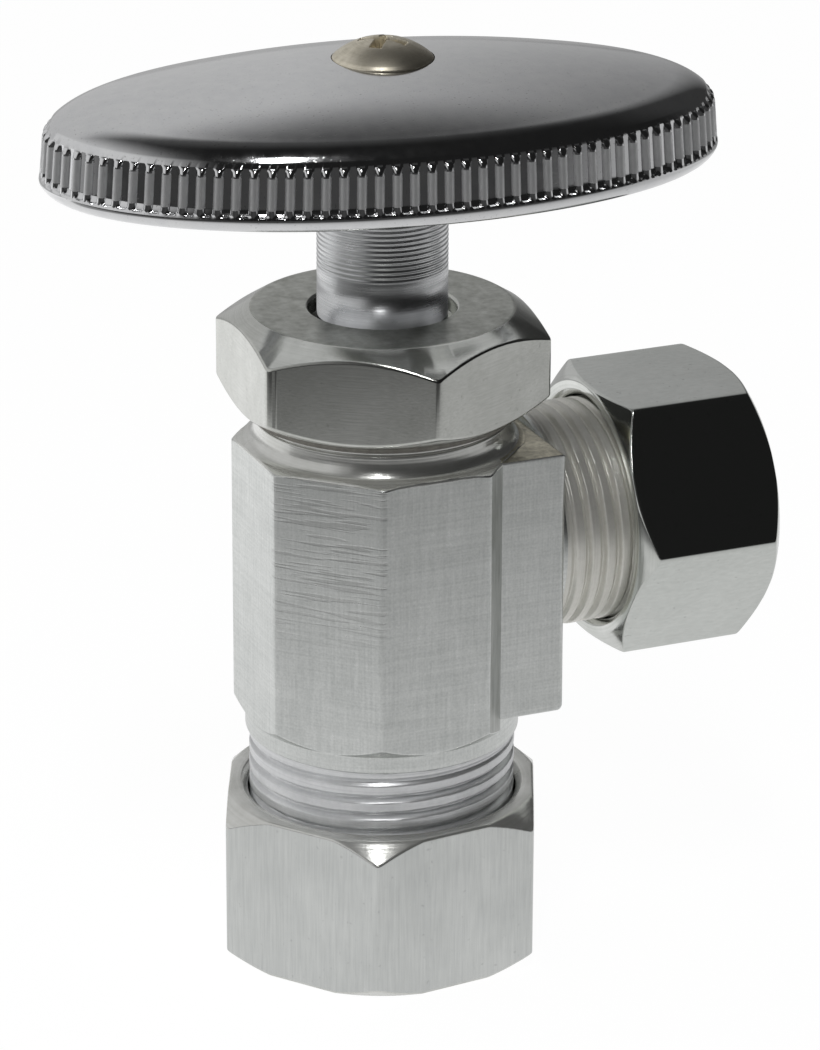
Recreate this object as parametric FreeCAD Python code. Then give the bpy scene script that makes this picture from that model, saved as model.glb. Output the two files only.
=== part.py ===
"""Multi-turn angle stop valve: 5/8 in. OD compression inlet, 1/2 in. OD compression outlet.

Millimetres. The origin is the centre of the inlet nut's mouth. +Z runs up the stem and +X runs out
along the outlet. The valve is stored fully open, with its stem raised.
"""
import FreeCAD, Part
import math
import os

# --- compression ends, measured along each end's own axis from the nut's mouth towards the body
INLET = {
    "tube_d": 15.875, "across_flats": 23.8, "nut_length": 13.1, "wall": 3.2, "thread_d": 20.64,
    "pitch": 1.411, "body_end": 7.6, "thread_end": 17.9, "socket_end": 19.7, "corner": -114.0,
    "chamfer_over": 0.2, "chamfer_drop": 1.4, "mouth_drop": 1.15,
}
OUTLET = {
    "tube_d": 12.7, "across_flats": 20.4, "nut_length": 12.1, "wall": 2.9, "thread_d": 17.46,
    "pitch": 1.27, "body_end": 7.2, "thread_end": 17.4, "socket_end": 16.6, "corner": 28.0,
    "chamfer_over": -0.15, "chamfer_drop": 1.1, "mouth_drop": 1.1,
}
TUBE_CLEARANCE = 0.11        # radial, between a tube and the holes it passes
SLEEVE_CLEARANCE = 0.06      # radial, between a tube and its sleeve
THREAD_CLEARANCE = 0.10      # radial, between a thread's crest and the bore around it

# --- body
OUTLET_AXIS_Z = 33.14
OUTLET_MOUTH_X = 29.1
OCTAGON_ACROSS_FLATS = 21.33
OCTAGON_BOTTOM_Z = 19.35
OCTAGON_TOP_Z = 41.5
BAND_R = 10.62               # smooth turned band between the inlet thread and the octagon
EAR_X = 11.34
EAR_HALF_WIDTH = 9.06
EAR_BOTTOM_Z = 20.5
EAR_EDGE = 0.35
NECK_R = 9.75
NECK_TOP_Z = 43.8
NECK_GROOVE = 0.22
PORT_R = 4.8                 # waterway through the seat
OUTLET_PORT_R = 4.6
CHAMBER_R = 7.6
CHAMBER_FLOOR_Z = 25.4
SEAT_Z = 26.6
SEAT_OUTER_R = 5.9

# --- bonnet and its seals
BONNET_ACROSS_FLATS = 22.5
BONNET_BOTTOM_Z = 44.15
BONNET_TOP_Z = 52.0
BONNET_CORNER = -94.0
BONNET_TOP_R = 10.0
BONNET_BOTTOM_R = 10.4
BONNET_TOP_DROP = 1.8
BONNET_BOTTOM_DROP = 1.45
BONNET_THREAD_R = 8.3
BONNET_THREAD_PITCH = 1.5
BONNET_END_Z = 37.2
BONNET_MOUTH_R = 5.59
BONNET_MOUTH_Z = 50.7
STOP_Z = 46.2                # the stem's backseat ring comes up to this shoulder
GASKET_R = 10.25
O_RING_SECTION = 1.46
O_RING_Z = {"stem_o_ring_lower": 47.5, "stem_o_ring_upper": 49.6}
GROOVE_WIDTH = 1.6

# --- stem and swivel disc, at the fully open position
STEM_R = 4.965
STEM_RUNNING_FIT = 0.075
STEM_THREAD_R = 6.3
STEM_PITCH = 2.0
STEM_BOTTOM_Z = 37.25
BACKSEAT_RING = 0.5
STEM_SHOULDER_Z = 63.6       # the handle's boss sits here
STEM_TOP_Z = 68.2
TANG_ACROSS_FLATS = 7.0
LIFT = 6.0                   # from shut to fully open, three turns
DISC_R = 6.5
DISC_TOP_Z = 37.1
WASHER_R = 5.85
WASHER_THICKNESS = 1.9
WASHER_BOTTOM_Z = SEAT_Z + LIFT + 0.05
SHOULDER_R = 2.37
DISC_SCREW_R = 1.5
DISC_HEAD_R = 3.1

# --- handle
HANDLE_A = 26.06             # half length, at the rolled lip
HANDLE_B = 15.02             # half width, at the rolled lip
HANDLE_ANGLE = -6.1          # the long way of the oval, from +X
HANDLE_BOTTOM_Z = 62.7
LIP_HEIGHT = 1.3
FLUTE_TOP_Z = 67.2
FLUTES = 100
FLUTE_DEPTH = 0.34
FLUTE_SHARE = 0.8            # part of each step that the scoop takes
SHOULDER_SCALE = 0.88
SHOULDER_Z = 69.0
DOME_TOP_Z = 71.2
HANDLE_WALL = 1.7
BOSS_R = 6.6
HANDLE_SCREW_R = 1.95
SCREW_HEAD_R = 3.8
SCREW_HEAD_TOP_Z = 72.9
SCREW_END_Z = 59.8

Z_AXIS = FreeCAD.Vector(0, 0, 1)
ORIGIN = FreeCAD.Vector(0, 0, 0)


def vec(x, y, z):
    return FreeCAD.Vector(x, y, z)


def cylinder(r, z0, z1):
    return Part.makeCylinder(r, z1 - z0, vec(0, 0, z0))


def turned(points):
    """Solid of revolution about Z from a closed outline of (radius, height) points."""
    corners = [vec(r, 0, z) for r, z in points]
    face = Part.Face(Part.makePolygon(corners + corners[:1]))
    return face.revolve(ORIGIN, Z_AXIS, 360)


def prism(sides, across_flats, z0, z1, corner_angle):
    """Regular prism with one corner at corner_angle degrees from +X."""
    r = across_flats / 2 / math.cos(math.pi / sides)
    angles = [math.radians(corner_angle + 360 * i / sides) for i in range(sides)]
    corners = [vec(r * math.cos(a), r * math.sin(a), z0) for a in angles]
    face = Part.Face(Part.makePolygon(corners + corners[:1]))
    return face.extrude(vec(0, 0, z1 - z0))


def chamfered_hexagon(across_flats, z0, z1, corner, bottom, top):
    """Hexagonal prism whose ends are turned: bottom and top are (circle radius, corner drop)."""
    corner_r = across_flats / math.sqrt(3) + 0.01
    envelope = turned([
        (0, z0), (bottom[0], z0), (corner_r, z0 + bottom[1]),
        (corner_r, z1 - top[1]), (top[0], z1), (0, z1),
    ])
    return prism(6, across_flats, z0, z1, corner).common(envelope)


def cut_thread(solid, r, pitch, z0, z1):
    """Cut a right-hand 60 degree groove into a shaft of radius r, from z0 up to z1."""
    depth = 0.58 * pitch
    over = 0.05 * pitch
    half_root = 0.09 * pitch
    half_mouth = half_root + (depth + over) * math.tan(math.radians(30))
    helix = Part.makeHelix(pitch, z1 - z0, r)
    helix.translate(vec(0, 0, z0))
    outline = [
        vec(r - depth, 0, z0 - half_root), vec(r + over, 0, z0 - half_mouth),
        vec(r + over, 0, z0 + half_mouth), vec(r - depth, 0, z0 + half_root),
    ]
    profile = Part.makePolygon(outline + outline[:1])
    groove = Part.Wire(helix).makePipeShell([profile], True, True)
    return solid.cut(groove)


# --- compression ends, in their own frame: s = 0 at the nut's mouth, s rising towards the body

def hole_r(end):
    return end["tube_d"] / 2 + TUBE_CLEARANCE


def nut_bore_r(end):
    return end["thread_d"] / 2 + THREAD_CLEARANCE


def end_nut(end):
    flat_r = end["across_flats"] / 2
    body = chamfered_hexagon(
        end["across_flats"], 0, end["nut_length"], end["corner"],
        (flat_r + end["chamfer_over"], end["mouth_drop"]),
        (flat_r + end["chamfer_over"], end["chamfer_drop"]),
    )
    r_hole = hole_r(end)
    r_bore = nut_bore_r(end)
    cone = 1.3
    lead_in = 0.45
    length = end["nut_length"]
    bore = turned([
        (0, -1), (r_hole, -1), (r_hole, end["wall"]), (r_hole + cone, end["wall"] + cone),
        (r_bore, end["wall"] + cone), (r_bore, length - lead_in), (r_bore + lead_in, length),
        (r_bore + lead_in, length + 1), (0, length + 1),
    ])
    return body.cut(bore)


def end_sleeve(end):
    r_in = end["tube_d"] / 2 + SLEEVE_CLEARANCE
    start = end["wall"] + 0.3
    r_tip = hole_r(end) + 0.15
    return turned([
        (r_in, start), (r_tip, start), (r_tip + 1.0, start + 1.0), (r_tip + 1.0, start + 3.0),
        (r_tip + 0.15, start + 5.1), (r_in, start + 5.1),
    ])


def end_spigot(end, root_s, core_s):
    """The body's threaded end, reaching from its mouth to core_s, with threads up to thread_end."""
    r = end["thread_d"] / 2
    start = end["body_end"]
    spigot = turned([
        (0, start), (r - 0.8, start), (r, start + 0.8), (r, root_s), (r, core_s), (0, core_s),
    ])
    return cut_thread(spigot, r, end["pitch"], start - end["pitch"] / 2, end["thread_end"] - 0.6)


def end_socket(end):
    """Hollow of the body's end: a cone for the sleeve, then the tube's socket."""
    r = hole_r(end)
    start = end["body_end"]
    mouth_r = r + 1.22
    return turned([
        (0, start - 1), (mouth_r, start - 1), (mouth_r, start), (r, start + 2.2), (r, end["socket_end"]),
        (0, end["socket_end"] + 0.6 * r),
    ])


def to_outlet(shape):
    """Place a shape made in an end's own frame on the outlet axis, its mouth facing +X."""
    shape = shape.copy()
    shape.rotate(ORIGIN, vec(0, 1, 0), -90)
    shape.translate(vec(OUTLET_MOUTH_X, 0, OUTLET_AXIS_Z))
    return shape


# --- pieces

def valve_body():
    octagon_r = OCTAGON_ACROSS_FLATS / 2 / math.cos(math.pi / 8)
    barrel = prism(8, OCTAGON_ACROSS_FLATS, OCTAGON_BOTTOM_Z, OCTAGON_TOP_Z, 22.5)
    drop = octagon_r - BAND_R
    barrel = barrel.common(turned([
        (0, OCTAGON_BOTTOM_Z), (BAND_R, OCTAGON_BOTTOM_Z), (octagon_r, OCTAGON_BOTTOM_Z + drop),
        (octagon_r, OCTAGON_TOP_Z - 0.25), (octagon_r - 0.6, OCTAGON_TOP_Z), (0, OCTAGON_TOP_Z),
    ]))
    ear = Part.makeBox(
        EAR_X, 2 * EAR_HALF_WIDTH, OCTAGON_TOP_Z - EAR_BOTTOM_Z, vec(0, -EAR_HALF_WIDTH, EAR_BOTTOM_Z)
    )
    outer = [e for e in ear.Edges if e.CenterOfMass.x > EAR_X - 0.01]
    ear = ear.makeChamfer(EAR_EDGE, outer)
    neck = turned([
        (0, OCTAGON_TOP_Z - 1), (NECK_R, OCTAGON_TOP_Z - 1), (NECK_R, OCTAGON_TOP_Z),
        (NECK_R - NECK_GROOVE, OCTAGON_TOP_Z + 0.1), (NECK_R, OCTAGON_TOP_Z + 0.4),
        (NECK_R, NECK_TOP_Z), (0, NECK_TOP_Z),
    ])
    band = cylinder(BAND_R, INLET["thread_end"], OCTAGON_BOTTOM_Z + 0.5)
    inlet = end_spigot(INLET, INLET["thread_end"], INLET["thread_end"] + 0.2)
    outlet = to_outlet(end_spigot(OUTLET, OUTLET["thread_end"], OUTLET_MOUTH_X - 3))
    body = barrel.fuse([ear, neck, band, inlet, outlet])

    seat_and_chamber = turned([
        (0, INLET["socket_end"]), (PORT_R, INLET["socket_end"]), (PORT_R, SEAT_Z),
        (SEAT_OUTER_R - 0.3, SEAT_Z), (SEAT_OUTER_R, SEAT_Z - 0.3), (SEAT_OUTER_R, CHAMBER_FLOOR_Z),
        (CHAMBER_R, CHAMBER_FLOOR_Z), (CHAMBER_R, BONNET_END_Z - 0.4),
        (BONNET_THREAD_R + 0.08, BONNET_END_Z - 0.2), (BONNET_THREAD_R + 0.08, NECK_TOP_Z + 1),
        (0, NECK_TOP_Z + 1),
    ])
    port_length = OUTLET_MOUTH_X - OUTLET["socket_end"] + 1
    outlet_port = Part.makeCylinder(OUTLET_PORT_R, port_length, vec(0, 0, OUTLET_AXIS_Z), vec(1, 0, 0))
    return body.cut([seat_and_chamber, outlet_port, end_socket(INLET), to_outlet(end_socket(OUTLET))])


def bonnet():
    head = chamfered_hexagon(
        BONNET_ACROSS_FLATS, BONNET_BOTTOM_Z, BONNET_TOP_Z, BONNET_CORNER,
        (BONNET_BOTTOM_R, BONNET_BOTTOM_DROP), (BONNET_TOP_R, BONNET_TOP_DROP),
    )
    relief_r = BONNET_THREAD_R - 0.9
    shank = turned([
        (0, BONNET_END_Z), (BONNET_THREAD_R - 0.7, BONNET_END_Z), (BONNET_THREAD_R, BONNET_END_Z + 0.7),
        (BONNET_THREAD_R, NECK_TOP_Z - 1), (relief_r, NECK_TOP_Z - 0.6),
        (relief_r, BONNET_BOTTOM_Z + 0.5), (0, BONNET_BOTTOM_Z + 0.5),
    ])
    shank = cut_thread(
        shank, BONNET_THREAD_R, BONNET_THREAD_PITCH, BONNET_END_Z - 0.5, NECK_TOP_Z - 1.4
    )
    bore_r = STEM_R + STEM_RUNNING_FIT
    thread_r = STEM_THREAD_R + 0.08
    bore = turned([
        (0, BONNET_END_Z - 1), (thread_r, BONNET_END_Z - 1), (thread_r, STOP_Z), (bore_r, STOP_Z),
        (bore_r, BONNET_MOUTH_Z), (BONNET_MOUTH_R, BONNET_MOUTH_Z),
        (BONNET_MOUTH_R, BONNET_TOP_Z - 0.2), (BONNET_MOUTH_R + 0.2, BONNET_TOP_Z),
        (BONNET_MOUTH_R + 0.2, BONNET_TOP_Z + 1), (0, BONNET_TOP_Z + 1),
    ])
    groove_r = STEM_R + 0.055 + O_RING_SECTION
    grooves = [
        cylinder(groove_r, z - GROOVE_WIDTH / 2, z + GROOVE_WIDTH / 2) for z in O_RING_Z.values()
    ]
    return head.fuse(shank).cut([bore] + grooves)


def bonnet_gasket():
    gap = 0.03
    ring = cylinder(GASKET_R, NECK_TOP_Z + gap, BONNET_BOTTOM_Z - gap)
    return ring.cut(cylinder(BONNET_THREAD_R + 0.1, NECK_TOP_Z, BONNET_BOTTOM_Z))


def stem_o_ring(z):
    r = O_RING_SECTION / 2
    return Part.makeTorus(STEM_R + 0.025 + r, r, vec(0, 0, z))


def stem():
    thread_top = STOP_Z - 0.1 - BACKSEAT_RING
    shaft = turned([
        (0, STEM_BOTTOM_Z), (STEM_THREAD_R - 0.9, STEM_BOTTOM_Z),
        (STEM_THREAD_R, STEM_BOTTOM_Z + 0.9), (STEM_THREAD_R, thread_top), (STEM_R, thread_top),
        (STEM_R, STEM_SHOULDER_Z), (0, STEM_SHOULDER_Z),
    ])
    shaft = cut_thread(shaft, STEM_THREAD_R, STEM_PITCH, STEM_BOTTOM_Z - 0.6, thread_top - 1.4)
    tang = prism(4, TANG_ACROSS_FLATS, STEM_SHOULDER_Z - 0.5, STEM_TOP_Z, 45 + HANDLE_ANGLE)
    tang = tang.common(cylinder(STEM_R - 0.4, STEM_SHOULDER_Z - 0.5, STEM_TOP_Z))
    screw_hole = cylinder(HANDLE_SCREW_R + 0.03, SCREW_END_Z - 1.2, STEM_TOP_Z + 1)
    disc_hole = cylinder(DISC_SCREW_R + 0.03, STEM_BOTTOM_Z - 1, STEM_BOTTOM_Z + 6.2)
    return shaft.fuse(tang).cut([screw_hole, disc_hole])


def backseat_ring():
    top = STOP_Z - 0.1
    ring = cylinder(STEM_THREAD_R - 0.25, top - BACKSEAT_RING + 0.01, top)
    return ring.cut(cylinder(STEM_R + 0.01, top - 1, top + 1))


def disc_holder():
    """Cup that holds the seat washer and swivels on the shoulder screw."""
    washer_top = WASHER_BOTTOM_Z + WASHER_THICKNESS
    rim_z = WASHER_BOTTOM_Z + 0.9
    return turned([
        (SHOULDER_R + 0.08, washer_top + 0.02), (WASHER_R + 0.03, washer_top + 0.02),
        (WASHER_R + 0.03, rim_z), (DISC_R, rim_z), (DISC_R, DISC_TOP_Z - 0.6),
        (DISC_R - 0.6, DISC_TOP_Z), (SHOULDER_R + 0.08, DISC_TOP_Z),
    ])


def seat_washer():
    ring = cylinder(WASHER_R, WASHER_BOTTOM_Z, WASHER_BOTTOM_Z + WASHER_THICKNESS)
    return ring.cut(cylinder(SHOULDER_R + 0.1, WASHER_BOTTOM_Z - 1, DISC_TOP_Z))


def disc_screw():
    head_top = WASHER_BOTTOM_Z - 0.08
    head_bottom = head_top - 1.6
    shank_top = STEM_BOTTOM_Z + 5.6
    screw = turned([
        (0, head_bottom), (DISC_HEAD_R - 0.5, head_bottom), (DISC_HEAD_R, head_bottom + 0.6),
        (DISC_HEAD_R, head_top), (SHOULDER_R, head_top), (SHOULDER_R, STEM_BOTTOM_Z - 0.01),
        (DISC_SCREW_R, STEM_BOTTOM_Z - 0.01), (DISC_SCREW_R, shank_top), (0, shank_top),
    ])
    slot = Part.makeBox(2 * DISC_HEAD_R, 0.9, 0.8, vec(-DISC_HEAD_R, -0.45, head_bottom))
    return screw.cut(slot)


def oval(shape, half_length, half_width):
    """Stretch a round shape of radius half_width into the handle's oval and turn it into place."""
    matrix = FreeCAD.Matrix()
    matrix.scale(half_length / half_width, 1, 1)
    stretched = shape.transformGeometry(matrix)
    stretched.rotate(ORIGIN, Z_AXIS, HANDLE_ANGLE)
    return stretched


def fluted_skirt(z0, z1):
    """Oval prism whose side is a row of shallow scoops with narrow flat lands between them."""
    a = HANDLE_A * 0.985
    b = HANDLE_B * 0.985

    def rim(t, depth):
        x = a * math.cos(t)
        y = b * math.sin(t)
        length = math.hypot(math.cos(t) / a, math.sin(t) / b)
        return vec(x - depth * math.cos(t) / a / length, y - depth * math.sin(t) / b / length, z0)

    steps = even_steps(a, b, FLUTES)
    edges = []
    for i, t in enumerate(steps):
        step = (steps[(i + 1) % FLUTES] - t) % (2 * math.pi)
        start = rim(t, 0)
        middle = rim(t + FLUTE_SHARE * step / 2, FLUTE_DEPTH)
        end = rim(t + FLUTE_SHARE * step, 0)
        following = rim(steps[(i + 1) % FLUTES], 0)
        edges.append(Part.Arc(start, middle, end).toShape())
        edges.append(Part.LineSegment(end, following).toShape())
    skirt = Part.Face(Part.Wire(edges)).extrude(vec(0, 0, z1 - z0))
    skirt.rotate(ORIGIN, Z_AXIS, HANDLE_ANGLE)
    return skirt


def even_steps(a, b, count):
    """Ellipse parameters that divide its edge into equal lengths."""
    samples = 40 * count
    lengths = [0.0]
    for i in range(samples):
        t = 2 * math.pi * (i + 0.5) / samples
        lengths.append(lengths[-1] + math.hypot(a * math.sin(t), b * math.cos(t)))
    steps = []
    i = 0
    for k in range(count):
        while lengths[i + 1] <= lengths[-1] * k / count:
            i += 1
        steps.append(2 * math.pi * i / samples)
    return steps


def handle():
    b = HANDLE_B
    lip = turned([
        (0, HANDLE_BOTTOM_Z), (b - 0.45, HANDLE_BOTTOM_Z), (b, HANDLE_BOTTOM_Z + 0.45),
        (b, HANDLE_BOTTOM_Z + 0.85), (b - 0.45, HANDLE_BOTTOM_Z + LIP_HEIGHT),
        (0, HANDLE_BOTTOM_Z + LIP_HEIGHT),
    ])
    shoulder = [
        vec(0.975 * b, 0, FLUTE_TOP_Z), vec(0.95 * b, 0, FLUTE_TOP_Z + 1.0),
        vec(SHOULDER_SCALE * b, 0, SHOULDER_Z),
    ]
    crown = [shoulder[-1], vec(0.5 * b, 0, DOME_TOP_Z - 0.62), vec(0, 0, DOME_TOP_Z)]
    foot = vec(0, 0, FLUTE_TOP_Z)
    outline = Part.Wire([
        Part.LineSegment(foot, shoulder[0]).toShape(), Part.Arc(*shoulder).toShape(),
        Part.Arc(*crown).toShape(), Part.LineSegment(crown[-1], foot).toShape(),
    ])
    dome = Part.Face(outline).revolve(ORIGIN, Z_AXIS, 360)
    shell = oval(lip, HANDLE_A, b).fuse([
        fluted_skirt(HANDLE_BOTTOM_Z + LIP_HEIGHT, FLUTE_TOP_Z), oval(dome, HANDLE_A, b)
    ])
    inner_b = b - HANDLE_WALL
    hollow = oval(turned([
        (0, HANDLE_BOTTOM_Z - 1), (inner_b, HANDLE_BOTTOM_Z - 1), (inner_b, FLUTE_TOP_Z - 0.6),
        (0.8 * inner_b, SHOULDER_Z - HANDLE_WALL), (0, DOME_TOP_Z - HANDLE_WALL - 0.3),
    ]), HANDLE_A - HANDLE_WALL, inner_b)
    boss = cylinder(BOSS_R, STEM_SHOULDER_Z + 0.01, DOME_TOP_Z - HANDLE_WALL)
    socket = prism(4, TANG_ACROSS_FLATS + 0.06, 0, STEM_TOP_Z + 0.2, 45 + HANDLE_ANGLE)
    socket = socket.common(cylinder(STEM_R - 0.36, 0, STEM_TOP_Z + 0.2))
    screw_hole = cylinder(HANDLE_SCREW_R + 0.15, 0, DOME_TOP_Z + 1)
    head_seat = cylinder(SCREW_HEAD_R + 0.03, DOME_TOP_Z - 0.35, DOME_TOP_Z + 1)
    return shell.cut(hollow).fuse(boss).cut([socket, screw_hole, head_seat])


def handle_screw():
    """Domed cross-recess screw that holds the handle down on the stem's tang."""
    seat_z = DOME_TOP_Z - 0.34
    rim_z = seat_z + 0.3
    rise = SCREW_HEAD_TOP_Z - rim_z
    ball_r = (SCREW_HEAD_R ** 2 + rise ** 2) / (2 * rise)
    lift = ball_r - rise
    part_way = math.atan2(SCREW_HEAD_R, lift) / 2
    half = vec(ball_r * math.sin(part_way), 0, rim_z - lift + ball_r * math.cos(part_way))
    corners = [
        vec(0, 0, SCREW_END_Z), vec(HANDLE_SCREW_R - 0.5, 0, SCREW_END_Z),
        vec(HANDLE_SCREW_R, 0, SCREW_END_Z + 0.5), vec(HANDLE_SCREW_R, 0, seat_z),
        vec(SCREW_HEAD_R, 0, seat_z), vec(SCREW_HEAD_R, 0, rim_z),
    ]
    top = vec(0, 0, SCREW_HEAD_TOP_Z)
    edges = [Part.LineSegment(p, q).toShape() for p, q in zip(corners, corners[1:])]
    edges.append(Part.Arc(corners[-1], half, top).toShape())
    edges.append(Part.LineSegment(top, corners[0]).toShape())
    screw = Part.Face(Part.Wire(edges)).revolve(ORIGIN, Z_AXIS, 360)
    arm = (3.8, 0.95, 1.5)
    for turn in (0, 90):
        slot = Part.makeBox(*arm, vec(-arm[0] / 2, -arm[1] / 2, SCREW_HEAD_TOP_Z - arm[2]))
        slot.rotate(ORIGIN, Z_AXIS, turn + HANDLE_ANGLE + 20)
        screw = screw.cut(slot)
    return screw


def main():
    parts = {
        "valve_body": valve_body(),
        "bonnet": bonnet(),
        "bonnet_gasket": bonnet_gasket(),
        "stem": stem(),
        "backseat_ring": backseat_ring(),
        "disc_holder": disc_holder(),
        "seat_washer": seat_washer(),
        "disc_screw": disc_screw(),
        "handle": handle(),
        "handle_screw": handle_screw(),
        "inlet_nut": end_nut(INLET),
        "inlet_sleeve": end_sleeve(INLET),
        "outlet_nut": to_outlet(end_nut(OUTLET)),
        "outlet_sleeve": to_outlet(end_sleeve(OUTLET)),
    }
    for name, z in O_RING_Z.items():
        parts[name] = stem_o_ring(z)
    os.makedirs("parts", exist_ok=True)
    for name, shape in parts.items():
        shape.exportStep("parts/" + name + ".step")
        box = shape.BoundBox
        print(
            f"{name}: {len(shape.Solids)} solid, valid {shape.isValid()}, {shape.Volume:.1f} mm3, "
            f"z {box.ZMin:.2f} to {box.ZMax:.2f}"
        )


main()
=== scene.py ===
"""Look of a multi-turn angle stop valve: plated brass body, two compression nuts, bonnet and oval handle.

Shapes are worked out in millimetres and made in metres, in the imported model's own frame.
"""

import math

import bpy
import numpy as np
from mathutils import Matrix, Vector


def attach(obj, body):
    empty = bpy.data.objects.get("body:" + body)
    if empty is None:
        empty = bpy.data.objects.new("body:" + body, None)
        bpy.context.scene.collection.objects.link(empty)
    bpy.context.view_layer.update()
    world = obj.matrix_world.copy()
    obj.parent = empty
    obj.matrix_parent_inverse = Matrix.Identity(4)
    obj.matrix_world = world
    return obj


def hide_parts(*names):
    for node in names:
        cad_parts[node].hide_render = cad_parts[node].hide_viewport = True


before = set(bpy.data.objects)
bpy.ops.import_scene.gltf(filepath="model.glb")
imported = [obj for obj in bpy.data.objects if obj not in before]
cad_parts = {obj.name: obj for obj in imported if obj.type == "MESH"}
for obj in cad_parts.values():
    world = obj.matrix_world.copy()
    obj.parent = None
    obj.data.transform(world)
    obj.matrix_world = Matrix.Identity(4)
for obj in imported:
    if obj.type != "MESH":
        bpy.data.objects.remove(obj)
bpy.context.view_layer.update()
MM = 0.001

# --- sizes in millimetres; each end is measured along its own axis from its nut's mouth
INLET = dict(
    hole=8.0475, lead_r=9.27, thread_r=10.32, pitch=1.411, nut=13.1, wall=3.2, flat=11.9, corner=-114.0,
    over=0.2, drop=1.4, mouth_drop=1.15, start=7.6, thread_end=17.9, socket_end=19.7,
)
OUTLET = dict(
    hole=6.46, lead_r=7.68, thread_r=8.73, pitch=1.27, nut=12.1, wall=2.9, flat=10.2, corner=28.0,
    over=-0.15, drop=1.1, mouth_drop=1.1, start=7.2, thread_end=17.4, socket_end=16.6,
)
OUTLET_AT = (29.1, 0.0, 33.14)       # middle of the outlet nut's mouth
OCT_FLAT = 10.665                    # octagonal barrel: middle to flat, bottom and top
OCT_Z = (19.35, 41.5)
BAND_R = 10.62                       # round band between the octagon and the inlet thread
EAR_X = 11.34                        # ear on the outlet side: outer face, half width, bottom
EAR_HALF = 9.06
EAR_BOTTOM = 20.5
EAR_ROOT = 5.95                      # where the ear starts inside the barrel
NECK_R = 9.75                        # turned neck under the bonnet
NECK_TOP = 43.8
SEAT_R = 4.8                         # bore that the valve closes
PORT_R = 4.6                         # bore from the chamber to the outlet
CHAMBER_R = 7.6
BONNET_THREAD_R = 8.3
BONNET_FLAT = 11.25
BONNET_Z = (44.15, 52.0)
BONNET_CORNER = -94.0                # direction of one of the bonnet's corners, in degrees
BONNET_MOUTH_R = 5.59                # recess in the bonnet's top, round the stem
BONNET_MOUTH_FLOOR = 50.7
STEM_R = 4.965
HANDLE_A = 26.06                     # half length and half width of the handle, turn about Z, lowest point
HANDLE_B = 15.02
HANDLE_ANGLE = -6.1
HANDLE_Z = 62.7
FLUTES = 100
SCREW_R = 3.8
SCREW_TOP = 72.85
SCREW_SHANK_R = 1.95


# --- mesh helpers

def grid(name, rows, cap_start=False, cap_end=False):
    """Closed surface through rows of points (row, column, xyz) in millimetres; rows close on themselves."""
    rows = np.asarray(rows, float)
    count, around = rows.shape[:2]
    points = rows.reshape(-1, 3)
    j = np.arange(around)
    following = (j + 1) % around
    bands = count if not (cap_start or cap_end) else count - 1
    faces = []
    for i in range(bands):
        a, b = i * around, ((i + 1) % count) * around
        faces.append(np.column_stack([a + j, a + following, b + following, b + j]))
    faces = np.vstack(faces).tolist()
    caps = []
    for wanted, row, turn in ((cap_start, 0, False), (cap_end, count - 1, True)):
        if wanted:
            middle = len(points)
            points = np.vstack([points, rows[row].mean(axis=0)])
            a, b = row * around + j, row * around + following
            pair = (a, b) if turn else (b, a)
            caps += np.column_stack([pair[0], pair[1], np.full(around, middle)]).tolist()
    mesh = bpy.data.meshes.new(name)
    mesh.from_pydata((points * MM).tolist(), [], faces + caps)
    corners = points[np.array(faces)]
    volume = np.einsum(
        "ij,ij->i", corners[:, 0], np.cross(corners[:, 1] - corners[:, 3], corners[:, 2] - corners[:, 0])
    ).sum()
    if volume < 0:
        mesh.flip_normals()
    mesh.validate()
    piece = bpy.data.objects.new(name, mesh)
    bpy.context.scene.collection.objects.link(piece)
    return piece


def finish_piece(piece, body, replaced, material, sharp=38):
    """Smooth shading that keeps true edges, then the piece's material and body; the parts it replaces are
    hidden.
    """
    mesh = piece.data
    mesh.shade_smooth()
    mesh.set_sharp_from_angle(angle=math.radians(sharp))
    weighted = piece.modifiers.new("even_normals", "WEIGHTED_NORMAL")
    weighted.keep_sharp = True
    weighted.weight = 50
    mesh.materials.clear()
    mesh.materials.append(material)
    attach(piece, body)
    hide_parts(*replaced)
    return piece


def paint(piece, finishes):
    """Give faces another finish; finishes(centres in millimetres, normals) gives (material, faces) pairs."""
    mesh = piece.data
    values = []
    for field in ("center", "normal"):
        flat = np.empty(len(mesh.polygons) * 3)
        mesh.polygons.foreach_get(field, flat)
        values.append(flat.reshape(-1, 3))
    index = np.empty(len(mesh.polygons), np.int32)
    mesh.polygons.foreach_get("material_index", index)
    for material, faces in finishes(values[0] / MM, values[1]):
        mesh.materials.append(material)
        index[faces] = len(mesh.materials) - 1
    mesh.polygons.foreach_set("material_index", index)


CORNER_STEPS = (0.2, 0.6, 1.1, 1.7, 2.4, 3.2)


def columns(corners, count):
    """Angles round an axis, crowded near the corner directions (degrees) so that edges stay crisp."""
    angles = list(np.linspace(0, 360, count, endpoint=False))
    for corner in corners:
        angles += [corner + side * step for step in CORNER_STEPS for side in (-1, 1)]
    angles = np.unique(np.round(np.mod(angles, 360), 3))
    keep = np.r_[True, np.diff(angles) > 0.15]
    return np.radians(angles[keep])


def polygon_r(theta, flats, hardness):
    """Radius of a straight-sided outline with soft corners; flats are (direction in degrees, distance)."""
    total = 0
    for direction, distance in flats:
        facing = np.clip(np.cos(theta - math.radians(direction)), 0, None)
        total = total + (facing / distance) ** hardness
    return total ** (-1 / hardness)


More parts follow.
